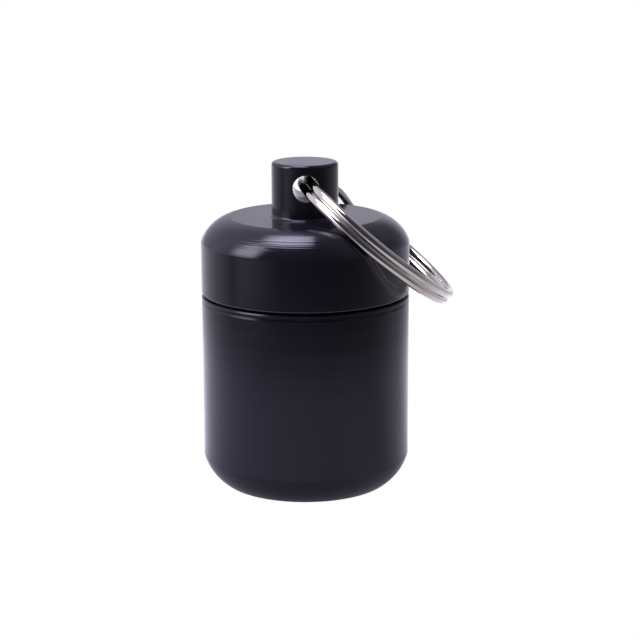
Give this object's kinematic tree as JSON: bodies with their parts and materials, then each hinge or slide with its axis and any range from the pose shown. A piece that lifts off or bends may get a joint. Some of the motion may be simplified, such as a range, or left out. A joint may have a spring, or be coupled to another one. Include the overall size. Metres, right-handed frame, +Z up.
{
  "type": "pill capsule",
  "caption": "Round screw-top pill capsule: a threaded container, a rubber seal ring and a lid whose cross-drilled boss carries a split key ring.",
  "frame": {"origin": "centre of the container's flat base", "axes": "+Z up along the capsule's axis, Y along the boss's cross hole, +X towards the side on which the key ring leans"},
  "size_m": [0.0328, 0.027, 0.0423],
  "materials": {
    "container": "glossy dark anodised",
    "lid": "glossy dark anodised",
    "seal_ring": "matt black",
    "key_ring": "polished nickel plate"
  },
  "bodies": {
    "container": {"container": "container"},
    "seal": {"seal_ring": "seal_ring"},
    "lid": {"lid": "lid"},
    "ring": {"key_ring": "key_ring"}
  },
  "joints": [
    {"name": "lid_turn", "type": "hinge", "parent": "container", "child": "seal", "pos_m": [0, 0, 0.0246], "axis": [0, 0, 1], "range_deg": [0, 2160]},
    {"name": "lid_lift", "type": "slide", "parent": "seal", "child": "lid", "axis": [0, 0, 1], "range_m": [0, 0.00751]},
    {"name": "ring_swing", "type": "hinge", "parent": "lid", "child": "ring", "pos_m": [0, 0, 0.03935], "axis": [0, -1, 0], "range_deg": [0, 252.5]}
  ],
  "couplings": [
    {"joint": "lid_lift", "follows": "lid_turn", "m_per_rad": 0.00019894}
  ]
}
